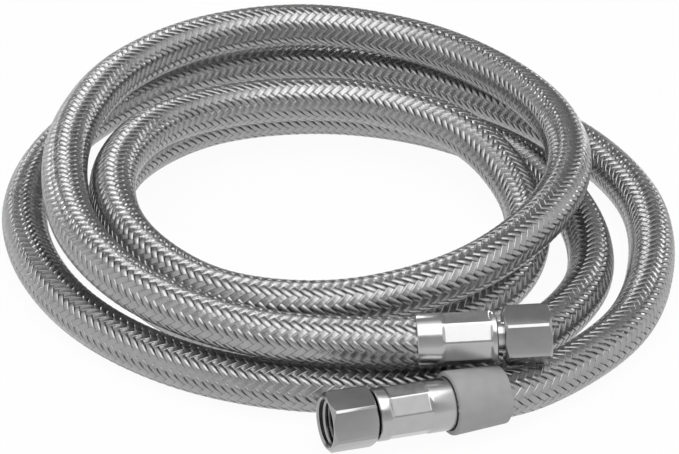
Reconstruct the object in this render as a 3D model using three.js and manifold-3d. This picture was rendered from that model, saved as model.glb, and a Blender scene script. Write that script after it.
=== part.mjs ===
// Icemaker supply hose: a loose coil of wire-braided water hose with a crimped fitting and a
// swivel nut on each end. Millimetres, +Z up; the origin lies on the floor below the coil's middle.

import * as THREE from 'three';
import { mergeVertices } from 'three/addons/utils/BufferGeometryUtils.js';
import Module from 'manifold-3d';

const wasm = await Module();
wasm.setup();

// Clearances between pieces.
const CLEAR = 0.3;
const PAST = 1;                     // how far a cutting solid runs past the face that it cuts

// Hose: a plastic tube inside a woven steel sleeve.
const TUBE_BORE = 6.35;
const TUBE_WALL = 1.275;
const TUBE_OD = TUBE_BORE + 2 * TUBE_WALL;
const BRAID_WALL = 1.0;
const BRAID_BORE = TUBE_OD + 2 * CLEAR;
const HOSE_OD = BRAID_BORE + 2 * BRAID_WALL;
const CRIMP_SQUEEZE = 0.55;         // how far a ferrule squeezes the sleeve in, on each side
const CRIMPED_OD = HOSE_OD - 2 * CRIMP_SQUEEZE;
const HOSE_STEPS = 88;
const HOSE_SIDES = 10;

// Crimp ferrule: round collar at the front, eight-sided crimp, round skirt at the back.
const FERRULE_WALL = 0.8;
const FERRULE_BORE = CRIMPED_OD + 2 * CLEAR;
const FERRULE_OD = FERRULE_BORE + 2 * FERRULE_WALL;
const FERRULE_LENGTH = 19;
const FERRULE_FRONT_WALL = 1.5;
const COLLAR_A = 1.5;               // round part in front of the crimp
const COLLAR_B = 3.0;
const FERRULE_SKIRT = 6.2;          // round part behind the crimp
const FERRULE_EDGE = 0.6;           // bevel on its outer edges
const CRIMP_DEPTH = 0.325;          // how deep each flat is pressed
const CRIMP_FLATS = FERRULE_OD - 2 * CRIMP_DEPTH;
const CRIMP_SIDES = 8;

// Swivel nut: hexagonal, its bore open at the mouth, its rear wall turning on the neck.
const NUT_FLATS = 13.0;
const NUT_SIDES = 6;
const NUT_LENGTH = 11.2;
const NUT_REAR_WALL = 1.8;
const NUT_SIDE_WALL = 1.3;
const NUT_BORE = NUT_FLATS - 2 * NUT_SIDE_WALL;   // mean of the thread's root and crest
const NUT_RELIEF = 1.6;             // length of the wider stretch ahead of the rear wall
const NUT_RELIEF_DEPTH = 0.4;
const NUT_RELIEF_OD = NUT_BORE + 2 * NUT_RELIEF_DEPTH;
const NUT_MOUTH_CHAMFER = 0.5;
const NUT_MOUTH_SHOULDER = 0.15;    // how far the turned end chamfers cut in past the flats
const NUT_BACK_SHOULDER = 0.4;
const NUT_END_CHAMFER = 0.8;        // how far the turned end chamfers run back along each corner
const NUT_GAP_A = 1.45;             // bare neck between ferrule and nut, fitting A
const NUT_GAP_B = 0.5;

// Hose stem: barbed tail in the tube, neck through ferrule and nut, flange inside the nut.
const BARB_LENGTH = 14;
const BARB_COUNT = 3;
const BARB_DEPTH = 0.45;
const BARB_CREST = 0.8;             // share of each barb that is its rising flank
const BARB_OD = TUBE_BORE - 2 * CLEAR;
const STEM_WALL = 0.625;            // under the barbs
const STEM_BORE = BARB_OD - 2 * (BARB_DEPTH + STEM_WALL);
const NECK_OD = 6.9;
const FLANGE_GAP = 0.55;            // room round the flange in the nut
const FLANGE_OD = NUT_BORE - 2 * FLANGE_GAP;
const FLANGE_THICK = 1.0;

// Cone washer on the flange.
const WASHER_GAP = 0.45;            // room round the washer in the nut
const WASHER_OD = NUT_BORE - 2 * WASHER_GAP;
const WASHER_TIP_INSET = 1.45;      // how far its cone runs in
const WASHER_THICK = 1.3;
const WASHER_BORE_GAP = 0.4;        // between its bore and the stem's, on each side
const WASHER_BORE = STEM_BORE + 2 * WASHER_BORE_GAP;

// Plain grey sleeve on the hose behind fitting B, lapping over its ferrule.
const BAND_LENGTH = 14;
const BAND_MOUTH_GAP = 0.5;         // room between its mouth and the ferrule
const BAND_MOUTH_WALL = 0.9;
const BAND_TAIL_GAP = 0.35;         // room between its tail and the hose
const BAND_TAIL_WALL = 0.9;
const BAND_LAP = 0.5;

// How each nut and crimp is turned about its fitting's line, in degrees.
const NUT_TURN_A = -18;
const NUT_TURN_B = 19;
const CRIMP_TURN_A = 24;
const CRIMP_TURN_B = 21;

const FACETS = 28;                  // round a turned piece

// The hose's middle line: end A and the top turn, the inner turns, the floor turns, end B.
// The three points at each end lie in line inside the fitting.
const ROUTE = [
  [36.2, -71.6, 19.6], [26, -72.2, 19.3], [15, -72.8, 19], [-17.5, -69, 19], [-45.5, -54, 21],
  [-62, -29.5, 22], [-68.5, 1, 22], [-67, 32, 21.5], [-56.5, 61, 21], [-35.5, 83, 20],
  [-7.5, 92, 19], [21.5, 84.5, 18], [44, 64, 18], [57.5, 36, 19], [59, 6, 20.5],
  [48.3, -23.3, 21], [27.7, -45.4, 20], [-0.5, -55, 18.5], [-29.2, -48.3, 18], [-50.3, -25.2, 19.5],
  [-56.3, 5.5, 20], [-46.5, 34.5, 18.5], [-22.5, 52.5, 16], [9, 54, 15], [34.5, 38.5, 13.5],
  [48.2, 11, 8.5], [45, -19, 5.8], [26, -43, 5.8], [-2, -52.5, 5.8], [-30.5, -45, 5.8],
  [-51, -22.5, 5.8], [-59.5, 7.5, 5.8], [-54, 37.5, 5.8], [-34, 59, 5.8], [-4.5, 65.8, 5.8],
  [25, 58.4, 5.8], [49, 39, 5.8], [62.2, 9, 5.8], [63, -22.5, 5.8], [49, -50, 6.5],
  [26, -69.2, 5.8], [-4.5, -73.6, 6.5], [-33.5, -64, 5.8], [-57.5, -45, 5.8], [-73.5, -18.5, 5.8],
  [-80, 11.5, 5.8], [-75.5, 41.5, 5.8], [-61, 68.5, 5.8], [-38, 88.5, 5.8], [-9, 95, 5.8],
  [20.5, 88, 5.8], [45.5, 69, 5.8], [66.4, 45.3, 5.8], [78.5, 16.5, 5.8], [79.2, -15.3, 5.8],
  [70.2, -45.8, 5.8], [47.8, -71.6, 6.4], [31.6, -81, 8], [21.6, -84.6, 8.4], [10.4, -88.6, 8.9],
];

const route = new THREE.CatmullRomCurve3(ROUTE.map((p) => new THREE.Vector3(...p)));
route.arcLengthDivisions = 40 * ROUTE.length;

const BRAIDED_STEEL = { color: 0x9c9c9c, roughness: 0.38, metalness: 0.9 };
const MILKY_PLASTIC = { color: 0xd8d8d4, roughness: 0.45, metalness: 0 };
const BRIGHT_PLATE = { color: 0xbcbcbc, roughness: 0.2, metalness: 1 };
const NUT_PLATE = { color: 0x8e8e8e, roughness: 0.36, metalness: 0.9 };
const GREY_PLASTIC = { color: 0x909090, roughness: 0.7, metalness: 0 };
const BLACK_RUBBER = { color: 0x2c2c2c, roughness: 0.8, metalness: 0 };

// A named piece with its own material.
function piece(name, geometry, finish) {
  const mesh = new THREE.Mesh(geometry, new THREE.MeshStandardMaterial(finish));
  mesh.name = name;
  return mesh;
}

// A closed geometry as a solid that can be cut and joined.
function solid(geometry) {
  const plain = geometry.clone();
  plain.deleteAttribute('normal');
  plain.deleteAttribute('uv');
  const merged = mergeVertices(plain);
  return new wasm.Manifold(new wasm.Mesh({
    numProp: 3,
    vertProperties: new Float32Array(merged.attributes.position.array),
    triVerts: new Uint32Array(merged.index.array),
  }));
}

// A finished solid as geometry again.
function shell(cut) {
  const mesh = cut.getMesh();
  const geometry = new THREE.BufferGeometry();
  geometry.setAttribute('position', new THREE.BufferAttribute(mesh.vertProperties, 3));
  geometry.setIndex(new THREE.BufferAttribute(mesh.triVerts, 1));
  return geometry;
}

// A piece turned about +Z. The [radius, height] points run up its outside and back down its bore,
// or from the axis to the axis.
function turned(points) {
  const outline = points[0][0] === 0 ? points : [...points, points[0]];
  const geometry = new THREE.LatheGeometry(outline.map(([r, z]) => new THREE.Vector2(r, z)), FACETS);
  geometry.rotateX(Math.PI / 2);
  return geometry;
}

// A flat-sided bar about +Z, given across its flats and turned by some degrees.
function bar(sides, flats, low, high, turn) {
  const corner = flats / 2 / Math.cos(Math.PI / sides);
  const geometry = new THREE.CylinderGeometry(corner, corner, high - low, sides);
  geometry.rotateX(Math.PI / 2);
  geometry.rotateZ(THREE.MathUtils.degToRad(turn));
  geometry.translate(0, 0, (low + high) / 2);
  return geometry;
}

// A frame with +Z from one point towards another and X level, its origin at the first point.
function frameAlong(from, towards) {
  const out = towards.clone().sub(from).normalize();
  const level = new THREE.Vector3(0, 0, 1).cross(out).normalize();
  const up = out.clone().cross(level);
  return new THREE.Matrix4().makeBasis(level, up, out).setPosition(from);
}

// A fitting's frame: its origin at the hose's cut end, +Z out along the fitting.
function fittingFrame(tip, inner) {
  const end = new THREE.Vector3(...tip);
  const away = end.clone().add(end).sub(new THREE.Vector3(...inner));
  return frameAlong(end, away);
}

const FRAME_A = fittingFrame(ROUTE[0], ROUTE[1]);
const FRAME_B = fittingFrame(ROUTE.at(-1), ROUTE.at(-2));

// Heights along a fitting, from the hose's cut end.
const FERRULE_FRONT = CLEAR + FERRULE_FRONT_WALL;
const FERRULE_BACK = FERRULE_FRONT - FERRULE_LENGTH;
const CRIMP_BACK = FERRULE_BACK + FERRULE_SKIRT;
const FLANGE_BACK = FERRULE_FRONT + NUT_GAP_A + NUT_REAR_WALL + CLEAR;
const FLANGE_FRONT = FLANGE_BACK + FLANGE_THICK;

function ringSection(outside, bore) {
  const circle = (radius) => Array.from({ length: HOSE_SIDES }, (_, i) => {
    const angle = (2 * Math.PI * i) / HOSE_SIDES;
    return new THREE.Vector2(radius * Math.cos(angle), radius * Math.sin(angle));
  });
  const section = new THREE.Shape(circle(outside / 2));
  section.holes.push(new THREE.Path(circle(bore / 2)));
  return section;
}

// A tube along the whole route.
function alongRoute(outside, bore) {
  return new THREE.ExtrudeGeometry(ringSection(outside, bore), { steps: HOSE_STEPS, extrudePath: route });
}

// The woven sleeve, squeezed thinner inside both ferrules.
function braidedSleeve() {
  const squeezed = CRIMPED_OD / 2;
  const outside = HOSE_OD / 2 + CLEAR;
  const low = FERRULE_BACK - CLEAR;
  const crimp = solid(turned([[squeezed, low], [outside, low], [outside, PAST], [squeezed, PAST]]));
  let sleeve = solid(alongRoute(HOSE_OD, BRAID_BORE));
  for (const frame of [FRAME_A, FRAME_B]) {
    sleeve = sleeve.subtract(crimp.transform(frame.elements));
  }
  return shell(sleeve);
}

// Ferrule: a drawn cup whose front wall has a hole for the stem, with eight flats pressed into it.
function ferrule(collar, crimpTurn) {
  const crimpFront = FERRULE_FRONT - collar;
  const outer = FERRULE_OD / 2;
  const bore = FERRULE_BORE / 2;
  const hole = NECK_OD / 2 + CLEAR;
  const cup = solid(turned([
    [bore, FERRULE_BACK], [outer - FERRULE_EDGE, FERRULE_BACK], [outer, FERRULE_BACK + FERRULE_EDGE],
    [outer, FERRULE_FRONT - FERRULE_EDGE], [outer - FERRULE_EDGE, FERRULE_FRONT],
    [hole, FERRULE_FRONT], [hole, CLEAR], [bore, CLEAR],
  ]));
  const around = solid(turned([
    [0, CRIMP_BACK], [FERRULE_OD, CRIMP_BACK], [FERRULE_OD, crimpFront], [0, crimpFront],
  ]));
  const pressed = solid(bar(CRIMP_SIDES, CRIMP_FLATS, CRIMP_BACK - PAST, crimpFront + PAST, crimpTurn));
  return shell(cup.subtract(around.subtract(pressed)));
}

// Stem: one turned piece with a barbed tail, a neck and a flange, bored through.
function stem() {
  const bore = STEM_BORE / 2;
  const crest = BARB_OD / 2;
  const root = crest - BARB_DEPTH;
  const pitch = BARB_LENGTH / (BARB_COUNT + 1);
  const outline = [[bore, -BARB_LENGTH]];
  for (let i = 0; i < BARB_COUNT; i += 1) {
    const foot = -BARB_LENGTH + i * pitch;
    const top = foot + BARB_CREST * pitch;
    outline.push([root, foot], [crest, top], [root, top]);
  }
  outline.push([root, CLEAR], [NECK_OD / 2, CLEAR], [NECK_OD / 2, FLANGE_BACK]);
  outline.push([FLANGE_OD / 2, FLANGE_BACK], [FLANGE_OD / 2, FLANGE_FRONT], [bore, FLANGE_FRONT]);
  return turned(outline);
}

// Nut: a hexagonal bar with turned end chamfers, bored from the mouth to its rear wall.
function nut(gap, turn) {
  const back = FERRULE_FRONT + gap;
  const mouth = back + NUT_LENGTH;
  const apothem = NUT_FLATS / 2;
  const corner = apothem / Math.cos(Math.PI / NUT_SIDES);
  const bore = NUT_BORE / 2;
  const relief = NUT_RELIEF_OD / 2;
  const floor = back + NUT_REAR_WALL;
  const blank = solid(bar(NUT_SIDES, NUT_FLATS, back - PAST, mouth + PAST, turn));
  const faced = solid(turned([
    [0, back], [apothem - NUT_BACK_SHOULDER, back], [corner + CLEAR, back + NUT_END_CHAMFER],
    [corner + CLEAR, mouth - NUT_END_CHAMFER], [apothem - NUT_MOUTH_SHOULDER, mouth], [0, mouth],
  ]));
  const rearHole = NECK_OD / 2 + CLEAR;
  const bored = solid(turned([
    [0, back - PAST], [rearHole, back - PAST], [rearHole, floor], [relief, floor],
    [relief, floor + NUT_RELIEF], [bore, floor + NUT_RELIEF], [bore, mouth - NUT_MOUTH_CHAMFER],
    [bore + NUT_MOUTH_CHAMFER + PAST, mouth + PAST], [0, mouth + PAST],
  ]));
  return shell(blank.intersect(faced).subtract(bored));
}

// Washer: a soft ring with a coned face towards the mouth, seated on the flange.
function coneWasher() {
  const low = FLANGE_FRONT + CLEAR;
  const bore = WASHER_BORE / 2;
  const outer = WASHER_OD / 2;
  return turned([
    [bore, low], [outer, low], [outer, low + WASHER_THICK / 2],
    [outer - WASHER_TIP_INSET, low + WASHER_THICK], [bore, low + WASHER_THICK],
  ]);
}

// Grey sleeve: a plain tapered tube, mouth up.
function band() {
  const tail = HOSE_OD / 2 + BAND_TAIL_GAP;
  const mouth = FERRULE_OD / 2 + BAND_MOUTH_GAP;
  return turned([
    [tail, 0], [tail + BAND_TAIL_WALL, 0], [mouth + BAND_MOUTH_WALL, BAND_LENGTH], [mouth, BAND_LENGTH],
  ]);
}

// A point on the faceted hose, a given way along it from end B.
function onHose(fromEndB) {
  const rings = route.getSpacedPoints(HOSE_STEPS).reverse();
  const at = fromEndB / (route.getLength() / HOSE_STEPS);
  const ring = Math.floor(at);
  return rings[ring].clone().lerp(rings[ring + 1], at - ring);
}

function fitting(letter, frame, gap, nutTurn, collar, crimpTurn) {
  const group = new THREE.Group();
  group.add(piece(`ferrule_${letter}`, ferrule(collar, crimpTurn), BRIGHT_PLATE));
  group.add(piece(`hose_stem_${letter}`, stem(), BRIGHT_PLATE));
  group.add(piece(`swivel_nut_${letter}`, nut(gap, nutTurn), NUT_PLATE));
  group.add(piece(`cone_washer_${letter}`, coneWasher(), BLACK_RUBBER));
  group.applyMatrix4(frame);
  return group;
}

const hose = new THREE.Group();
hose.add(piece('braided_sleeve', braidedSleeve(), BRAIDED_STEEL));
hose.add(piece('inner_tube', alongRoute(TUBE_OD, TUBE_BORE), MILKY_PLASTIC));
hose.add(fitting('a', FRAME_A, NUT_GAP_A, NUT_TURN_A, COLLAR_A, CRIMP_TURN_A));
hose.add(fitting('b', FRAME_B, NUT_GAP_B, NUT_TURN_B, COLLAR_B, CRIMP_TURN_B));

const bandMouth = -FERRULE_BACK - BAND_LAP;
const greySleeve = piece('grey_sleeve', band(), GREY_PLASTIC);
greySleeve.applyMatrix4(frameAlong(onHose(bandMouth + BAND_LENGTH), onHose(bandMouth)));
hose.add(greySleeve);

export default hose;
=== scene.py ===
"""Icemaker supply hose: a loose coil of wire-braided hose with a crimped swivel fitting on each end.

Everything is in metres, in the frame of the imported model: +Z up, the floor at zero.
"""

import logging
import math
from dataclasses import dataclass, field
from enum import Enum
from typing import Iterable, Optional, Sequence, Union

import bmesh
import bpy
import numpy as np
from mathutils import Matrix, Vector


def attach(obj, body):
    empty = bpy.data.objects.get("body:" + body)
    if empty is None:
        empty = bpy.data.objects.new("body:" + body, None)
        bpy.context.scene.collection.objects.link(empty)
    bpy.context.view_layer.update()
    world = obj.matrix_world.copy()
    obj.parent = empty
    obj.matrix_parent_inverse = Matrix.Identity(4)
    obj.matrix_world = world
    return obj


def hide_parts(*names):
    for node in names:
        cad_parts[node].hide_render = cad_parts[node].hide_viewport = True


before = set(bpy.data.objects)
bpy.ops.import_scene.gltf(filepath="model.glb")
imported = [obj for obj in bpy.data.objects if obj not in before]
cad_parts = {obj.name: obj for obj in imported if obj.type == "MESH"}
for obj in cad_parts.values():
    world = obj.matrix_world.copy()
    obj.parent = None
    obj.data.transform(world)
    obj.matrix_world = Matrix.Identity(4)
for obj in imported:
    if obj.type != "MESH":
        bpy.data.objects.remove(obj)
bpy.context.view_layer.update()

MM = 0.001
LOG = logging.getLogger("icemaker_hose")

Point = tuple[float, float, float]
Profile = Sequence[tuple[float, float]]


class End(Enum):
    """The two ends of the hose, by the letter that their nodes carry."""

    A = "a"
    B = "b"


class Hand(Enum):
    """Which way a strand winds round the hose."""

    RIGHT = 1
    LEFT = -1


# Shader maths


class Expr:
    """A shader socket, or a number, on which Python's operators add Math nodes."""

    def __init__(self, paint: "Paint", value: Union[float, bpy.types.NodeSocket]) -> None:
        """Wraps a value.

        Args:
            paint: The material that the nodes are added to.
            value: An output socket or a plain number.
        """
        self.paint = paint
        self.value = value

    def _math(self, operation: str, *values: object) -> "Expr":
        """Adds one Math node.

        Args:
            operation: The Math node's operation.
            *values: Its inputs in order.

        Returns:
            The node's output.
        """
        plain = [v.value if isinstance(v, Expr) else v for v in values]
        inputs = dict(enumerate(plain))
        return self.paint.node("ShaderNodeMath", {"operation": operation}, inputs)

    def __add__(self, other: object) -> "Expr":
        """Sum."""
        return self._math("ADD", self, other)

    def __radd__(self, other: object) -> "Expr":
        """Sum with a number on the left."""
        return self._math("ADD", other, self)

    def __sub__(self, other: object) -> "Expr":
        """Difference."""
        return self._math("SUBTRACT", self, other)

    def __rsub__(self, other: object) -> "Expr":
        """Difference with a number on the left."""
        return self._math("SUBTRACT", other, self)

    def __mul__(self, other: object) -> "Expr":
        """Product."""
        return self._math("MULTIPLY", self, other)

    def __rmul__(self, other: object) -> "Expr":
        """Product with a number on the left."""
        return self._math("MULTIPLY", other, self)

    def __pow__(self, other: object) -> "Expr":
        """Power."""
        return self._math("POWER", self, other)

    def sine(self) -> "Expr":
        """Sine of the value in radians."""
        return self._math("SINE", self)

    def absolute(self) -> "Expr":
        """The value without its sign."""
        return self._math("ABSOLUTE", self)

    def clamped(self) -> "Expr":
        """The value held between 0 and 1."""
        return self._math("MINIMUM", self._math("MAXIMUM", self, 0.0), 1.0)


class Paint:
    """A node material, or a world's nodes, under construction."""

    def __init__(self, owner: Union[bpy.types.Material, bpy.types.World], shader: str) -> None:
        """Takes up the nodes that a material or a world starts with.

        Args:
            owner: The material or world.
            shader: The name of the shader node that it starts with.
        """
        owner.use_nodes = True
        self.material = owner
        self.tree = owner.node_tree
        self.shader = self.tree.nodes[shader]

    @classmethod
    def of_material(cls, name: str) -> "Paint":
        """Starts a material that holds a Principled shader and its output.

        Args:
            name: The material's name.

        Returns:
            Its paint.
        """
        return cls(bpy.data.materials.new(name), "Principled BSDF")

    def node(self, kind: str, settings: Optional[dict] = None, inputs: Optional[dict] = None,
             output: Union[int, str] = 0) -> Expr:
        """Adds a node.

        Args:
            kind: The node's type.
            settings: Its properties, set first.
            inputs: Values or links, by socket name or number.
            output: The output to hand back.

        Returns:
            The chosen output.
        """
        made = self.tree.nodes.new(kind)
        for key, value in (settings or {}).items():
            setattr(made, key, value)
        for key, value in (inputs or {}).items():
            self.feed(made.inputs[key], value)
        return Expr(self, made.outputs[output])

    def feed(self, socket: bpy.types.NodeSocket, value: object) -> None:
        """Sets a socket's value, or links an output to it.

        Args:
            socket: The input.
            value: An Expr, an output socket or a plain value.
        """
        plain = value.value if isinstance(value, Expr) else value
        if isinstance(plain, bpy.types.NodeSocket):
            self.tree.links.new(plain, socket)
        else:
            socket.default_value = plain

    def set(self, **sockets: object) -> None:
        """Sets the first shader's sockets; an underscore in a name stands for a space.

        Args:
            **sockets: Values or outputs by socket name.
        """
        for name, value in sockets.items():
            self.feed(self.shader.inputs[name.replace("_", " ")], value)

    def coordinates(self, which: str = "Object") -> Expr:
        """The surface's own coordinates.

        Args:
            which: Object or UV.

        Returns:
            The coordinates.
        """
        return self.node("ShaderNodeTexCoord", output=which)

    def noise(self, scale: float, detail: float = 3.0, stretch: Point = (1.0, 1.0, 1.0)) -> Expr:
        """Noise over the object's own space, about 0 to 1.

        Args:
            scale: Features per metre.
            detail: Octaves.
            stretch: Scale along each axis.

        Returns:
            The noise's value.
        """
        placed = self.node("ShaderNodeMapping", inputs={"Vector": self.coordinates(), "Scale": stretch})
        return self.node("ShaderNodeTexNoise", inputs={"Vector": placed, "Scale": scale, "Detail": detail})

    def grey(self, level: Expr) -> Expr:
        """A neutral colour from a number.

        Args:
            level: The grey level.

        Returns:
            A colour output.
        """
        return self.node("ShaderNodeCombineColor", inputs={"Red": level, "Green": level, "Blue": level})

    def bump(self, height: Expr, strength: float, distance: float, normal: Optional[Expr] = None) -> Expr:
        """A bumped normal.

        Args:
            height: The height, about 0 to 1.
            strength: How much of the bump shows.
            distance: The height in metres that 1 stands for.
            normal: A normal to bump further.

        Returns:
            The normal.
        """
        inputs: dict = {"Height": height, "Strength": strength, "Distance": distance}
        if normal is not None:
            inputs["Normal"] = normal
        return self.node("ShaderNodeBump", inputs=inputs)


# Finishes


@dataclass(frozen=True)
class BraidFinish:
    """Bright drawn wire, laid side by side in flat strands."""

    grey: float = 0.40
    # Painted shade: the share of the grey left where a strand dips under the crossing ones
    crevice_shade: float = 0.86
    roughness: float = 0.17
    wires: int = 7
    wire_bump: float = 0.00003
    crown_bump: float = 0.00022
    lift_bump: float = 0.0002
    # Painted shade: the share of the grey left in the grooves between the wires
    groove_shade: float = 0.62
    mottling: float = 0.28

    def make(self, name: str) -> bpy.types.Material:
        """Builds the material; U runs across a strand and the lift attribute marks the overs. Painted shade
        darkens the base colour where a strand dips under and in the grooves between its wires.

        Args:
            name: The material's name.

        Returns:
            The material.
        """
        paint = Paint.of_material(name)
        across = paint.node("ShaderNodeSeparateXYZ", inputs={"Vector": paint.coordinates("UV")}, output="X")
        ridge = (across * (math.pi * self.wires)).sine().absolute()
        lift = paint.node("ShaderNodeAttribute", {"attribute_name": "lift"}, output="Fac")
        drift = paint.noise(220.0, 2.0)
        crown = 1.0 - ((across - 0.5) * 2.0) ** 2.0
        rounded = paint.bump(lift, 1.0, self.lift_bump, paint.bump(crown, 1.0, self.crown_bump))
        mottled = (1.0 - self.mottling / 2) + self.mottling * drift
        # Base colour with painted shade where the strands dip under, times random mottling
        level = (self.crevice_shade + (1.0 - self.crevice_shade) * lift) * mottled * self.grey
        # The base colour also carries painted shade in the grooves between the wires
        paint.set(Base_Color=paint.grey(level * (self.groove_shade + (1.0 - self.groove_shade) * ridge)), Metallic=1.0,
                  Roughness=self.roughness + 0.08 * (1.0 - ridge) + 0.06 * drift,
                  Normal=paint.bump(ridge, 0.5, self.wire_bump, rounded))
        return paint.material


@dataclass(frozen=True)
class PlateFinish:
    """Plated metal with fine turning marks and small blemishes."""

    grey: float
    roughness: float
    grain: float = 0.000012
    mottling: float = 0.18

    def make(self, name: str) -> bpy.types.Material:
        """Builds the material.

        Args:
            name: The material's name.

        Returns:
            The material.
        """
        paint = Paint.of_material(name)
        fine = paint.noise(2600.0, 2.0, (1.0, 4.0, 4.0))
        broad = paint.noise(260.0, 3.0)
        level = self.grey * ((1.0 - self.mottling / 2) + self.mottling * broad)
        paint.set(Base_Color=paint.grey(level), Metallic=1.0,
                  Roughness=self.roughness + 0.10 * fine + 0.10 * (broad - 0.5),
                  Normal=paint.bump(fine, 0.35, self.grain))
        return paint.material


@dataclass(frozen=True)
class PlasticFinish:
    """Plain moulded plastic or rubber with a fine matte skin."""

    grey: float
    roughness: float
    skin: float = 0.00002
    mottling: float = 0.24

    def make(self, name: str) -> bpy.types.Material:
        """Builds the material.

        Args:
            name: The material's name.

        Returns:
            The material.
        """
        paint = Paint.of_material(name)
        fine = paint.noise(4200.0, 3.0)
        broad = paint.noise(330.0, 3.0)
        level = self.grey * ((1.0 - self.mottling / 2) + self.mottling * broad)
        paint.set(Base_Color=paint.grey(level), Metallic=0.0,
                  Roughness=self.roughness + 0.12 * (fine - 0.5),
                  Normal=paint.bump(fine, 0.4, self.skin))
        return paint.material


# Meshes


def shown(name: str, mesh: bpy.types.Mesh, material: bpy.types.Material, body: str,
          stands_for: Iterable[str] = ()) -> bpy.types.Object:
    """Links a finished mesh as a piece of the object.

    Args:
        name: The piece's name.
        mesh: Its mesh, in place.
        material: Its finish.
        body: The body that it rides on.
        stands_for: The nodes that it replaces.

    Returns:
        The new object.
    """
    mesh.materials.clear()
    mesh.materials.append(material)
    piece = bpy.data.objects.new(name, mesh)
    bpy.context.scene.collection.objects.link(piece)
    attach(piece, body)
    for node in stands_for:
        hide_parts(node)
    LOG.info("%s: %d faces", name, len(mesh.polygons))
    return piece


def turned(profile: Profile, steps: int = 96) -> bmesh.types.BMesh:
    """A closed ring turned about Z.

    Args:
        profile: Radius and height points round the section once, in metres.
        steps: Facets round it.

    Returns:
        A bmesh with outward normals.
    """
    bm = bmesh.new()
    points = [bm.verts.new((r, 0.0, z)) for r, z in profile]
    edges = [bm.edges.new((points[i], points[i - 1])) for i in range(len(points))]
    bmesh.ops.spin(bm, geom=points + edges, cent=(0, 0, 0), axis=(0, 0, 1), angle=2 * math.pi,
                   steps=steps, use_merge=True)
    bmesh.ops.remove_doubles(bm, verts=bm.verts, dist=1e-7)
    bmesh.ops.recalc_face_normals(bm, faces=bm.faces)
    return bm


def finished(bm: bmesh.types.BMesh, name: str, place: Matrix, sharp_deg: float = 32.0) -> bpy.types.Mesh:
    """Writes a bmesh into a mesh, smooth but for its sharp edges, and puts it in place.

    Args:
        bm: The bmesh, which is freed.
        name: The mesh's name.
        place: The frame that it is moved into.
        sharp_deg: The angle past which an edge stays sharp.

    Returns:
        The mesh.
    """
    for face in bm.faces:
        face.smooth = True
    for edge in bm.edges:
        edge.smooth = not edge.is_manifold or edge.calc_face_angle() < math.radians(sharp_deg)
    mesh = bpy.data.meshes.new(name)
    bm.to_mesh(mesh)
    bm.free()
    mesh.transform(place)
    return mesh


# The hose


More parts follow.
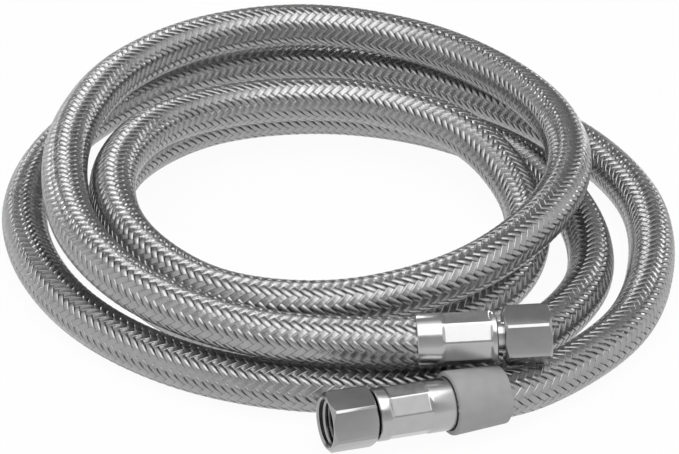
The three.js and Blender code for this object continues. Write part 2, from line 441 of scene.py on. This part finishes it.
@dataclass
class Route:
    """The hose's middle line, from its cut end in fitting A to the one in fitting B."""

    points: tuple[Point, ...] = (
        (0.0362, -0.0716, 0.0196), (0.026, -0.0722, 0.0193), (0.015, -0.0728, 0.019),
        (-0.0175, -0.069, 0.019), (-0.0455, -0.054, 0.021), (-0.062, -0.0295, 0.022),
        (-0.0685, 0.001, 0.022), (-0.067, 0.032, 0.0215), (-0.0565, 0.061, 0.021),
        (-0.0355, 0.083, 0.02), (-0.0075, 0.092, 0.019), (0.0215, 0.0845, 0.018),
        (0.044, 0.064, 0.018), (0.0575, 0.036, 0.019), (0.059, 0.006, 0.0205),
        (0.0483, -0.0233, 0.021), (0.0277, -0.0454, 0.02), (-0.0005, -0.055, 0.0185),
        (-0.0292, -0.0483, 0.018), (-0.0503, -0.0252, 0.0195), (-0.0563, 0.0055, 0.02),
        (-0.0465, 0.0345, 0.0185), (-0.0225, 0.0525, 0.016), (0.009, 0.054, 0.015),
        (0.0345, 0.0385, 0.0135), (0.0482, 0.011, 0.0085), (0.045, -0.019, 0.0058),
        (0.026, -0.043, 0.0058), (-0.002, -0.0525, 0.0058), (-0.0305, -0.045, 0.0058),
        (-0.051, -0.0225, 0.0058), (-0.0595, 0.0075, 0.0058), (-0.054, 0.0375, 0.0058),
        (-0.034, 0.059, 0.0058), (-0.0045, 0.0658, 0.0058), (0.025, 0.0584, 0.0058),
        (0.049, 0.039, 0.0058), (0.0622, 0.009, 0.0058), (0.063, -0.0225, 0.0058),
        (0.049, -0.05, 0.0065), (0.026, -0.0692, 0.0058), (-0.0045, -0.0736, 0.0065),
        (-0.0335, -0.064, 0.0058), (-0.0575, -0.045, 0.0058), (-0.0735, -0.0185, 0.0058),
        (-0.08, 0.0115, 0.0058), (-0.0755, 0.0415, 0.0058), (-0.061, 0.0685, 0.0058),
        (-0.038, 0.0885, 0.0058), (-0.009, 0.095, 0.0058), (0.0205, 0.088, 0.0058),
        (0.0455, 0.069, 0.0058), (0.0664, 0.0453, 0.0058), (0.0785, 0.0165, 0.0058),
        (0.0792, -0.0153, 0.0058), (0.0702, -0.0458, 0.0058), (0.0478, -0.0716, 0.0064),
        (0.0316, -0.081, 0.008), (0.0216, -0.0846, 0.0084), (0.0104, -0.0886, 0.0089),
    )
    spacing: float = 0.25 * MM
    samples_a_span: int = 60
    along: np.ndarray = field(init=False)
    place: np.ndarray = field(init=False)
    side: np.ndarray = field(init=False)
    up: np.ndarray = field(init=False)

    def __post_init__(self) -> None:
        """Samples the curve evenly, with a frame that doesn't twist."""
        dense = self._curve(self.samples_a_span)
        run = np.concatenate([[0.0], np.cumsum(np.linalg.norm(np.diff(dense, axis=0), axis=1))])
        count = int(run[-1] / self.spacing) + 1
        self.along = np.linspace(0.0, run[-1], count)
        self.place = np.stack([np.interp(self.along, run, dense[:, k]) for k in range(3)], axis=1)
        tangent = np.gradient(self.place, axis=0)
        tangent /= np.linalg.norm(tangent, axis=1)[:, None]
        self.side = np.zeros_like(tangent)
        across = np.cross(tangent[0], (0.0, 0.0, 1.0))
        for i, t in enumerate(tangent):
            across = across - t * float(across @ t)
            across /= math.sqrt(float(across @ across))
            self.side[i] = across
        self.up = np.cross(self.side, tangent)

    def _curve(self, per_span: int) -> np.ndarray:
        """The smooth curve through the points.

        Args:
            per_span: Samples from one point to the next.

        Returns:
            The samples.
        """
        p = np.array(self.points)
        p = np.vstack([2 * p[0] - p[1], p, 2 * p[-1] - p[-2]])
        t = (np.arange(per_span) / per_span)[:, None]
        spans = []
        for a, b, c, d in zip(p, p[1:], p[2:], p[3:]):
            ab, bc, cd = (math.sqrt(np.linalg.norm(q)) for q in (b - a, c - b, d - c))
            leave = ((b - a) / ab - (c - a) / (ab + bc) + (c - b) / bc) * bc
            arrive = ((c - b) / bc - (d - b) / (bc + cd) + (d - c) / cd) * bc
            square = 3 * (c - b) - 2 * leave - arrive
            cube = 2 * (b - c) + leave + arrive
            spans.append(b + leave * t + square * t ** 2 + cube * t ** 3)
        return np.vstack(spans + [p[-2][None]])

    @property
    def length(self) -> float:
        """The hose's length in metres."""
        return float(self.along[-1])

    def surface(self, at: np.ndarray, angle: np.ndarray, radius: np.ndarray) -> np.ndarray:
        """Points round the hose.

        Args:
            at: Distances along it.
            angle: Angles round it.
            radius: Distances from its middle line.

        Returns:
            The points, with the shape of the inputs and a last axis of three.
        """
        def blend(values: np.ndarray) -> np.ndarray:
            """The values at those distances."""
            return np.stack([np.interp(at, self.along, values[:, k]) for k in range(3)], axis=-1)

        out = blend(self.side) * np.cos(angle)[..., None] + blend(self.up) * np.sin(angle)[..., None]
        return blend(self.place) + out * radius[..., None]

    def end_frame(self, end: End) -> Matrix:
        """A fitting's frame: its origin at the cut end, +Z out along the fitting, X level.

        Args:
            end: Which end.

        Returns:
            The frame.
        """
        tip, inner = (self.points[0], self.points[1]) if end is End.A else (self.points[-1], self.points[-2])
        out = (Vector(tip) - Vector(inner)).normalized()
        return aimed(Vector(tip), out)


def aimed(origin: Vector, out: Vector) -> Matrix:
    """A frame with +Z along a direction and X level.

    Args:
        origin: Its origin.
        out: Its +Z.

    Returns:
        The frame.
    """
    level = Vector((0, 0, 1)).cross(out).normalized()
    up = out.cross(level)
    return Matrix.Translation(origin) @ Matrix((level, up, out)).transposed().to_4x4()


@dataclass
class Hose:
    """The braided hose: flat strands of wire woven over a plain tube."""

    route: Route
    diameter: float = 11.5 * MM
    crest_radius: float = 5.87 * MM
    core_diameter: float = 10.6 * MM
    tube_diameter: float = 8.9 * MM
    tube_bore: float = 6.35 * MM
    tube_play: float = 0.2 * MM
    strands_each_way: int = 16
    lead: float = 38.5 * MM
    strand_width: float = 1.7 * MM
    strand_thickness: float = 0.1 * MM
    strand_flat: float = 0.72
    wave: float = 0.09 * MM
    step: float = 0.86 * MM
    strands_a_piece: int = 4
    ferrule_cover: float = 17.0 * MM

    def tube_mesh(self, name: str, outside: float, bore: Optional[float], sides: int,
                  spacing: float) -> bpy.types.Mesh:
        """A smooth tube along the whole route.

        Args:
            name: The mesh's name.
            outside: Its outer diameter.
            bore: Its inner diameter, or None for a solid one.
            sides: Facets round it.
            spacing: Distance between its rings.

        Returns:
            The mesh.
        """
        rings = int(self.route.length / spacing) + 1
        at = np.linspace(0.0, self.route.length, rings)[:, None]
        turn = (2 * math.pi * np.arange(sides) / sides)[None, :]
        walls = [outside / 2] if bore is None else [outside / 2, bore / 2]
        points = [self.route.surface(at + 0 * turn, turn + 0 * at, np.full((rings, sides), r)) for r in walls]
        verts = np.concatenate([p.reshape(-1, 3) for p in points])
        faces = []
        for layer in range(len(walls)):
            first = layer * rings * sides
            quads = grid_faces(rings, sides, first)
            faces.append(quads if layer == 0 else quads[:, ::-1])
        faces = np.concatenate(faces).tolist()
        last = (rings - 1) * sides
        if bore is None:
            faces.append(list(range(sides))[::-1])
            faces.append([last + i for i in range(sides)])
        else:
            inner = rings * sides
            for i in range(sides):
                j = (i + 1) % sides
                faces.append([j, i, inner + i, inner + j])
                faces.append([last + i, last + j, inner + last + j, inner + last + i])
        mesh = bpy.data.meshes.new(name)
        mesh.from_pydata(verts.tolist(), [], faces)
        mesh.shade_smooth()
        return mesh

    def strand_points(self, index: int, hand: Hand) -> tuple[np.ndarray, np.ndarray]:
        """One strand's corner points, four to a ring.

        Args:
            index: Which strand of its direction.
            hand: Its direction.

        Returns:
            The points, as rings by four by three, and each ring's lift from 0, under, to 1, over.
        """
        start = self.ferrule_cover
        stop = self.route.length - self.ferrule_cover
        rings = int((stop - start) / self.step) + 1
        at = np.linspace(start, stop, rings)
        crossings = 2 * self.strands_each_way * at / self.lead
        turns = 2 * math.pi * (hand.value * at / self.lead + index / self.strands_each_way)
        phase = 2 * index + hand.value * crossings
        lift = hand.value * np.cos(2 * math.pi * (phase - 0.5) / 4)
        slope = math.atan2(math.pi * self.diameter, self.lead)
        radius = self.crest_radius - self.wave * (1 - lift)
        half = self.strand_width / 2
        across = half * np.array([-1.0, -self.strand_flat, self.strand_flat, 1.0])
        drop = np.array([self.strand_thickness, 0.0, 0.0, self.strand_thickness])
        ring_at = at[:, None] - hand.value * across[None, :] * math.sin(slope)
        ring_turn = turns[:, None] + across[None, :] * math.cos(slope) / (self.diameter / 2)
        ring_radius = radius[:, None] - drop[None, :]
        return self.route.surface(ring_at, ring_turn, ring_radius), (lift + 1) / 2

    def strand_mesh(self, name: str, indices: Sequence[int], hand: Hand) -> bpy.types.Mesh:
        """Several strands as one mesh of closed ribbons.

        Args:
            name: The mesh's name.
            indices: Which strands.
            hand: Their direction.

        Returns:
            The mesh, with U across each strand, V along it, and its lift as an attribute.
        """
        verts, faces, lifts, ups, alongs = [], [], [], [], []
        first = 0
        for index in indices:
            points, lift = self.strand_points(index, hand)
            rings = len(points)
            quads = grid_faces(rings, 4, first)
            verts.append(points.reshape(-1, 3))
            faces.append(quads)
            lifts.append(np.repeat(lift, 4))
            ups.append(np.tile([0.0, (1 - self.strand_flat) / 2, (1 + self.strand_flat) / 2, 1.0], rings))
            alongs.append(np.repeat(np.arange(rings) * self.step / MM, 4))
            first += rings * 4
        flat = np.concatenate(faces)
        if hand is Hand.LEFT:
            flat = flat[:, ::-1]
        mesh = bpy.data.meshes.new(name)
        ends = self._end_caps(len(indices), rings, hand)
        mesh.from_pydata(np.concatenate(verts).tolist(), [], flat.tolist() + ends)
        mesh.shade_smooth()
        lift_attribute = mesh.attributes.new("lift", "FLOAT", "POINT")
        lift_attribute.data.foreach_set("value", np.concatenate(lifts).astype(np.float32))
        corner = np.empty(len(mesh.loops), np.int32)
        mesh.loops.foreach_get("vertex_index", corner)
        layer = mesh.uv_layers.new(name="strand")
        uv = np.stack([np.concatenate(ups)[corner], np.concatenate(alongs)[corner]], axis=1)
        layer.data.foreach_set("uv", uv.astype(np.float32).ravel())
        return mesh

    @staticmethod
    def _end_caps(strands: int, rings: int, hand: Hand) -> list[list[int]]:
        """The faces that close each ribbon's two ends.

        Args:
            strands: How many ribbons.
            rings: Rings in each.
            hand: Their direction.

        Returns:
            The faces.
        """
        caps = []
        for k in range(strands):
            low = k * rings * 4
            high = low + (rings - 1) * 4
            near = [low + 3, low + 2, low + 1, low]
            far = [high, high + 1, high + 2, high + 3]
            caps += [near, far] if hand is Hand.RIGHT else [near[::-1], far[::-1]]
        return caps

    def build(self, wire: bpy.types.Material, under: bpy.types.Material,
              plastic: bpy.types.Material) -> tuple[bpy.types.Object, list[bpy.types.Object]]:
        """Makes the hose's pieces.

        Args:
            wire: The strands' finish.
            under: The finish of what shows between them.
            plastic: The inner tube's finish.

        Returns:
            The core, which is the cord, and the strands on it.
        """
        core_mesh = self.tube_mesh("braid_core", self.core_diameter, self.tube_diameter, sides=20,
                                   spacing=2.4 * MM)
        core = shown("braid_core", core_mesh, under, "hose", ["braided_sleeve"])
        tube_mesh = self.tube_mesh("inner_tube_smooth", self.tube_diameter - self.tube_play,
                                   self.tube_bore, sides=12, spacing=4 * MM)
        shown("inner_tube_smooth", tube_mesh, plastic, "hose", ["inner_tube"])
        strands = []
        for hand in Hand:
            for first in range(0, self.strands_each_way, self.strands_a_piece):
                name = f"strands_{hand.name.lower()}_{first // self.strands_a_piece + 1}"
                mesh = self.strand_mesh(name, range(first, first + self.strands_a_piece), hand)
                strands.append(shown(name, mesh, wire, "hose"))
        return core, strands


def grid_faces(rings: int, sides: int, first: int) -> np.ndarray:
    """Quads of a tube whose rings lie one after another.

    Args:
        rings: How many rings.
        sides: Points in each.
        first: The first point's number.

    Returns:
        One row of four point numbers a quad.
    """
    ring = np.arange(rings - 1)[:, None] * sides
    here = np.arange(sides)[None, :]
    following = (here + 1) % sides
    quads = np.stack([ring + here, ring + following, ring + sides + following, ring + sides + here], axis=-1)
    return quads.reshape(-1, 4) + first


# The fittings


@dataclass
class Fitting:
    """One crimped end: ferrule, stem, washer and swivel nut."""

    end: End
    place: Matrix
    nut_gap: float
    nut_turn: float
    crimp_turn: float
    collar: float
    inner_facets: int = 64
    clear: float = 0.3 * MM
    ferrule_length: float = 19 * MM
    ferrule_wall: float = 1.5 * MM
    ferrule_radius: float = 6.3 * MM
    ferrule_bore: float = 5.5 * MM
    crimp_back: float = 6.2 * MM
    crimp_flats: float = 11.7 * MM
    crimp_ramp: float = 0.6 * MM
    crimp_rings: int = 44
    crimp_sides: int = 8
    ferrule_edge: float = 0.5 * MM
    ferrule_facets: int = 128
    neck_radius: float = 3.45 * MM
    flange_radius: float = 4.65 * MM
    flange_thick: float = 1.0 * MM
    stem_bore: float = 1.8 * MM
    barb_length: float = 14 * MM
    barb_radius: float = 2.87 * MM
    barb_depth: float = 0.45 * MM
    barbs: int = 3
    washer_bore: float = 2.2 * MM
    washer_radius: float = 4.7 * MM
    washer_tip: float = 3.3 * MM
    washer_thick: float = 1.3 * MM
    nut_flats: float = 13.0 * MM
    nut_corner_radius: float = 7.3 * MM
    nut_length: float = 11.2 * MM
    nut_wall: float = 1.8 * MM
    nut_face_radius: float = 6.42 * MM
    nut_back_radius: float = 6.15 * MM
    nut_chamfer: float = 0.8 * MM
    thread_root: float = 5.55 * MM
    thread_crest: float = 5.1 * MM
    thread_pitch: float = 1.058 * MM
    thread_flat: float = 0.12 * MM
    thread_start: float = 1.3 * MM
    thread_stop: float = 0.45 * MM
    mouth_chamfer: float = 0.4 * MM
    edge_break: float = 0.2 * MM
    nut_sides: int = 6
    nut_facets: int = 144
    thread_steps: int = 48
    neck_free: float = 1.45 * MM

    @property
    def front(self) -> float:
        """Height of the ferrule's front face."""
        return self.clear + self.ferrule_wall

    @property
    def flange_back(self) -> float:
        """Height of the flange's rear face."""
        return self.front + self.neck_free + self.nut_wall + self.clear

    def build(self, bright: bpy.types.Material, plated: bpy.types.Material,
              rubber: bpy.types.Material) -> list[bpy.types.Object]:
        """Makes the fitting's pieces.

        Args:
            bright: The ferrule's and stem's finish.
            plated: The nut's finish.
            rubber: The washer's finish.

        Returns:
            The pieces.
        """
        letter = self.end.value
        made = []
        for name, bm, finish, slot, body in (
            ("ferrule", self._ferrule(), bright, "bright_plate", "hose"),
            ("hose_stem", self._stem(), bright, "bright_plate", "hose"),
            ("swivel_nut", self._nut(), plated, "nut_plate", f"nut_{letter}"),
            ("cone_washer", self._washer(), rubber, "washer_rubber", "hose"),
        ):
            full = f"{name}_{letter}_fine"
            mesh = finished(bm, full, self.place)
            made.append(shown(full, mesh, finish, body, [f"{name}_{letter}"]))
        return made

    def _ferrule(self) -> bmesh.types.BMesh:
        """The crimped cup."""
        back = self.front - self.ferrule_length
        crimp_front = self.front - self.collar
        crimp_back = back + self.crimp_back
        outer = self.ferrule_radius
        soft = self.ferrule_edge
        outside = [(outer - 0.55 * soft, back), (outer - 0.12 * soft, back + 0.4 * soft),
                   (outer, back + soft)]
        low = crimp_back - 1.2 * self.crimp_ramp
        high = crimp_front + 1.2 * self.crimp_ramp
        step = (high - low) / self.crimp_rings
        outside += [(outer, low + step * i) for i in range(self.crimp_rings + 1)]
        outside += [(outer, self.front - 1.3 * soft), (outer - 0.15 * soft, self.front - 0.6 * soft),
                    (outer - 0.6 * soft, self.front - 0.15 * soft), (outer - 1.3 * soft, self.front)]
        hole = self.neck_radius + self.clear
        inside = [(hole, self.front), (hole, self.clear), (self.ferrule_bore, self.clear),
                  (self.ferrule_bore, back)]
        bm = turned(outside + inside, self.ferrule_facets)
        self._press(bm, crimp_back, crimp_front)
        return bm

    def _press(self, bm: bmesh.types.BMesh, low: float, high: float) -> None:
        """Presses the crimp's flats into the outside of the cup.

        Args:
            bm: The cup.
            low: Height where the crimp ends at the back.
            high: Height where it ends at the front.
        """
        apothem = self.crimp_flats / 2
        lane = 2 * math.pi / self.crimp_sides
        for vert in bm.verts:
            radius = math.hypot(vert.co.x, vert.co.y)
            if radius < self.ferrule_radius - 1e-6:
                continue
            ramp = min(vert.co.z - low, high - vert.co.z) / self.crimp_ramp
            share = max(0.0, min(1.0, 0.5 + ramp))
            share = share * share * (3 - 2 * share)
            angle = math.atan2(vert.co.y, vert.co.x) - math.radians(self.crimp_turn) + math.pi / 2
            off_flat = (angle + lane / 2) % lane - lane / 2
            from_corner = lane / 2 - abs(off_flat)
            flat = apothem / math.cos(from_corner)
            flat = min(flat, self.ferrule_radius + 0.02 * MM)
            new = radius + (flat - radius) * share
            vert.co.x *= new / radius
            vert.co.y *= new / radius

    def _stem(self) -> bmesh.types.BMesh:
        """The turned stem, barbed at its tail."""
        crest = self.barb_radius
        root = crest - self.barb_depth
        pitch = self.barb_length / (self.barbs + 1)
        outline = [(self.stem_bore, -self.barb_length)]
        for i in range(self.barbs):
            foot = -self.barb_length + i * pitch
            outline += [(root, foot), (crest, foot + 0.8 * pitch), (root, foot + 0.84 * pitch)]
        flange_front = self.flange_back + self.flange_thick
        outline += [(root, self.clear), (self.neck_radius, self.clear), (self.neck_radius, self.flange_back),
                    (self.flange_radius, self.flange_back), (self.flange_radius, flange_front - 0.2 * MM),
                    (self.flange_radius - 0.2 * MM, flange_front), (self.stem_bore, flange_front)]
        return turned(outline, self.inner_facets)

    def _washer(self) -> bmesh.types.BMesh:
        """The cone washer on the flange."""
        low = self.flange_back + self.flange_thick + self.clear
        high = low + self.washer_thick
        return turned([(self.washer_bore, low), (self.washer_radius, low),
                       (self.washer_radius, (low + high) / 2), (self.washer_tip, high),
                       (self.washer_bore, high)], self.inner_facets)

    def _nut(self) -> bmesh.types.BMesh:
        """The hexagonal nut with its threaded bore."""
        back = self.front + self.nut_gap
        mouth = back + self.nut_length
        corner = self.nut_corner_radius
        floor = back + self.nut_wall
        hole = self.neck_radius + self.clear
        bm = turned([
            (hole, back), (self.nut_back_radius, back), (corner, back + self.nut_chamfer),
            (corner, mouth - self.nut_chamfer), (self.nut_face_radius, mouth),
            (self.thread_root + self.mouth_chamfer, mouth), (self.thread_root, mouth - self.mouth_chamfer),
            (self.thread_root, floor), (hole, floor),
        ], self.nut_facets)
        for i in range(self.nut_sides):
            angle = math.radians(self.nut_turn - 90 + 360 * (i + 0.5) / self.nut_sides)
            out = Vector((math.cos(angle), math.sin(angle), 0))
            cut = bmesh.ops.bisect_plane(bm, geom=bm.verts[:] + bm.edges[:] + bm.faces[:], dist=1e-8,
                                         plane_co=out * self.nut_flats / 2, plane_no=out, clear_outer=True)
            rim = [e for e in cut["geom_cut"] if isinstance(e, bmesh.types.BMEdge)]
            bmesh.ops.edgenet_fill(bm, edges=rim)
        bmesh.ops.remove_doubles(bm, verts=bm.verts, dist=1e-6)
        bmesh.ops.recalc_face_normals(bm, faces=bm.faces)
        inner = self.nut_back_radius + 0.05 * MM
        edges = [e for e in bm.edges if e.is_manifold and e.calc_face_angle() > math.radians(20)
                 and min(math.hypot(v.co.x, v.co.y) for v in e.verts) > inner]
        bmesh.ops.bevel(bm, geom=edges, offset=self.edge_break, offset_type="OFFSET", segments=3,
                        profile=0.5, material=-1, affect="EDGES", clamp_overlap=True)
        self._thread(bm, floor + self.thread_start, mouth - self.thread_stop)
        return bm

    def _thread(self, bm: bmesh.types.BMesh, low: float, high: float) -> None:
        """Adds the thread's ridge, a helix of triangular section let into the bore.

        Args:
            bm: The nut.
            low: Where the thread starts.
            high: Where it ends.
        """
        half = 0.44 * self.thread_pitch
        flat = self.thread_flat / 2
        sunk = self.thread_root + 0.04 * MM
        section = [(sunk, -half), (self.thread_crest, -flat), (self.thread_crest, flat), (sunk, half)]
        start = low + half
        turns = (high - half - start) / self.thread_pitch
        steps = int(turns * self.thread_steps)
        ridge = bmesh.new()
        points = [ridge.verts.new((r, 0.0, start + z)) for r, z in section]
        face = ridge.faces.new(points)
        step_rise = (high - half - start) / steps
        bmesh.ops.spin(ridge, geom=[face], cent=(0, 0, 0), axis=(0, 0, 1), dvec=(0, 0, step_rise),
                       angle=2 * math.pi * turns, steps=steps)
        bmesh.ops.recalc_face_normals(ridge, faces=ridge.faces)
        mesh = bpy.data.meshes.new("ridge")
        ridge.to_mesh(mesh)
        ridge.free()
        bm.from_mesh(mesh)
        bpy.data.meshes.remove(mesh)


@dataclass
class GreySleeve:
    """The plain grey sleeve on the hose behind fitting B."""

    route: Route
    mouth_from_end: float = 16.7 * MM
    length: float = 14 * MM
    mouth_radius: float = 7.7 * MM
    mouth_bore: float = 6.5 * MM
    tail_radius: float = 7.0 * MM
    tail_bore: float = 6.1 * MM
    lip: float = 0.7 * MM

    def build(self, finish: bpy.types.Material) -> bpy.types.Object:
        """Makes the sleeve.

        Args:
            finish: Its finish.

        Returns:
            The piece.
        """
        def on_line(from_end: float) -> Vector:
            """The middle line's point at a distance from end B."""
            at = self.route.length - from_end
            return Vector([float(np.interp(at, self.route.along, self.route.place[:, k])) for k in range(3)])

        tail = on_line(self.mouth_from_end + self.length)
        mouth = on_line(self.mouth_from_end)
        soft = 0.2 * MM
        bm = turned([
            (self.tail_bore, 0), (self.tail_radius - soft, 0), (self.tail_radius, soft),
            (self.mouth_radius - 0.05 * self.lip, self.length - 1.2 * self.lip),
            (self.mouth_radius - 0.15 * self.lip, self.length - 0.6 * self.lip),
            (self.mouth_radius - 0.5 * self.lip, self.length - 0.2 * self.lip),
            (self.mouth_radius - self.lip, self.length), (self.mouth_bore, self.length),
        ], 96)
        mesh = finished(bm, "grey_sleeve_fine", aimed(tail, (mouth - tail).normalized()))
        return shown("grey_sleeve_fine", mesh, finish, "hose", ["grey_sleeve"])


# The studio


@dataclass
class Studio:
    """A white floor, soft lights and the camera at the photograph's angle."""

    camera_at: Point = (0.001, -0.7794, 0.458)
    down_deg: float = 30.0
    focal_px: float = 3537.0
    photo_width: float = 679.0
    sensor: float = 36.0
    world_fill: float = 0.5
    floor_glow: float = 0.95
    floor_reach: float = 6.0
    board_fade: float = 0.6

    def camera(self) -> None:
        """Puts up the camera."""
        data = bpy.data.cameras.new("camera")
        data.sensor_width = self.sensor
        data.lens = self.sensor * self.focal_px / self.photo_width
        data.clip_start = 0.05
        data.clip_end = 20.0
        camera = bpy.data.objects.new("camera", data)
        camera.location = self.camera_at
        camera.rotation_euler = (math.radians(90 - self.down_deg), 0, 0)
        bpy.context.scene.collection.objects.link(camera)
        bpy.context.scene.camera = camera

    def floor(self) -> None:
        """Lays the floor, white to the camera and in reflections, with the hose's soft shadow."""
        bm = bmesh.new()
        bmesh.ops.create_grid(bm, x_segments=1, y_segments=1, size=self.floor_reach)
        mesh = bpy.data.meshes.new("floor")
        bm.to_mesh(mesh)
        bm.free()
        paint = Paint.of_material("floor")
        paint.set(Base_Color=(0.9, 0.9, 0.9, 1.0), Roughness=0.9, Specular_IOR_Level=0.0)
        seen = self._seen_directly(paint)
        glow = paint.node("ShaderNodeEmission", inputs={"Color": (1, 1, 1, 1), "Strength": 1.0})
        mixed = paint.node("ShaderNodeMixShader", inputs={
            0: seen * self.floor_glow, 1: paint.shader.outputs[0], 2: glow})
        paint.feed(paint.tree.nodes["Material Output"].inputs["Surface"], mixed)
        mesh.materials.append(paint.material)
        floor = bpy.data.objects.new("floor", mesh)
        bpy.context.scene.collection.objects.link(floor)

    @staticmethod
    def _seen_directly(paint: Paint) -> Expr:
        """1 for camera, glossy and transmission rays.

        Args:
            paint: The material or world.

        Returns:
            The mask.
        """
        def ray(kind: str) -> Expr:
            """1 for one kind of ray."""
            return paint.node("ShaderNodeLightPath", output=kind)

        return (ray("Is Camera Ray") + ray("Is Glossy Ray") + ray("Is Transmission Ray")).clamped()

    def world(self) -> None:
        """Sets a white backdrop and an even fill."""
        world = bpy.data.worlds.new("studio")
        bpy.context.scene.world = world
        paint = Paint(world, "Background")
        seen = self._seen_directly(paint)
        paint.set(Color=(1, 1, 1, 1), Strength=self.world_fill + seen * (1.0 - self.world_fill))

    def lights(self) -> None:
        """Hangs the softboxes: one overhead, and three strips behind the coil that only metal shows."""
        overhead = self._softbox("overhead_box", (0.0, -0.27, 0.8), (0.9, 0.78), 1.95)
        overhead.rotation_euler = (0, 0, 0)
        for name, at, size, radiance in (
            ("back_strip", (-0.15, 0.87, 0.46), (0.15, 0.3), 7.0),
            ("right_strip", (0.66, 1.0, 0.12), (0.17, 0.3), 7.0),
            ("left_strip", (-0.62, 1.0, 0.08), (0.17, 0.3), 7.0),
        ):
            strip = self._softbox(name, at, size, radiance)
            strip.visible_diffuse = False

    @staticmethod
    def _softbox(name: str, at: Point, size: tuple[float, float], radiance: float) -> bpy.types.Object:
        """Adds an area light that faces the coil.

        Args:
            name: Its name.
            at: Its middle.
            size: Its width and height.
            radiance: How bright its face is, where white paper in plain light is 1.

        Returns:
            The light.
        """
        data = bpy.data.lights.new(name, "AREA")
        data.shape = "RECTANGLE"
        data.size, data.size_y = size
        data.energy = radiance * math.pi * size[0] * size[1]
        lamp = bpy.data.objects.new(name, data)
        lamp.location = at
        lamp.rotation_euler = (-Vector(at)).to_track_quat("-Z", "Y").to_euler()
        bpy.context.scene.collection.objects.link(lamp)
        return lamp

    def flags(self) -> None:
        """Puts grey boards behind, under and in front of the coil, which only its metal shows."""
        for name, at, size, tilt, low, high in (
            ("back_board", (0.0, 1.3, 1.3), (3.4, 2.6), 90, 0.2, 0.45),
            ("floor_board", (0.0, 0.78, 0.004), (3.4, 1.0), 0, 0.35, 0.2),
            ("front_board", (0.0, -1.5, 0.95), (3.4, 1.9), 90, 0.8, 0.4),
        ):
            bm = bmesh.new()
            bmesh.ops.create_grid(bm, x_segments=1, y_segments=1, size=0.5)
            bmesh.ops.scale(bm, vec=(size[0], size[1], 1), verts=bm.verts)
            mesh = bpy.data.meshes.new(name)
            bm.to_mesh(mesh)
            bm.free()
            paint = Paint.of_material(name)
            along = paint.node("ShaderNodeSeparateXYZ", inputs={"Vector": paint.coordinates()}, output="Y")
            share = (along * (1.0 / size[1]) + 0.5).clamped() ** self.board_fade
            paint.set(Base_Color=(0, 0, 0, 1), Roughness=1.0, Specular_IOR_Level=0.0,
                      Emission_Color=paint.grey(low + share * (high - low)), Emission_Strength=1.0)
            mesh.materials.append(paint.material)
            board = bpy.data.objects.new(name, mesh)
            board.location = at
            board.rotation_euler = (math.radians(tilt), 0, 0)
            board.visible_camera = board.visible_diffuse = board.visible_shadow = False
            bpy.context.scene.collection.objects.link(board)


def main() -> None:
    """Builds the scene: camera, hose, fittings, sleeve and studio."""
    logging.basicConfig(level=logging.INFO, format="%(message)s")
    bpy.context.scene.view_settings.view_transform = "Standard"
    studio = Studio()
    studio.camera()
    route = Route()
    LOG.info("hose %.3f m", route.length)
    hose = Hose(route)
    wire = BraidFinish().make("braided_wire")
    under = PlateFinish(grey=0.33, roughness=0.35).make("under_the_braid")
    plastic = PlasticFinish(grey=0.62, roughness=0.5).make("milky_plastic")
    core, strands = hose.build(wire, under, plastic)
    bright = PlateFinish(grey=0.44, roughness=0.17).make("bright_plate")
    plated = PlateFinish(grey=0.34, roughness=0.12).make("nut_plate")
    rubber = PlasticFinish(grey=0.03, roughness=0.7).make("black_rubber")
    fittings = [
        Fitting(End.A, route.end_frame(End.A), nut_gap=1.45 * MM, nut_turn=-18, crimp_turn=24,
                collar=1.5 * MM),
        Fitting(End.B, route.end_frame(End.B), nut_gap=0.5 * MM, nut_turn=19, crimp_turn=21,
                collar=3.0 * MM),
    ]
    ends = [piece for fitting in fittings for piece in fitting.build(bright, plated, rubber)]
    grey = PlasticFinish(grey=0.36, roughness=0.6).make("grey_plastic")
    sleeve = GreySleeve(route).build(grey)
    studio.world()
    studio.floor()
    studio.lights()
    studio.flags()


if __name__ == "__main__":
    main()
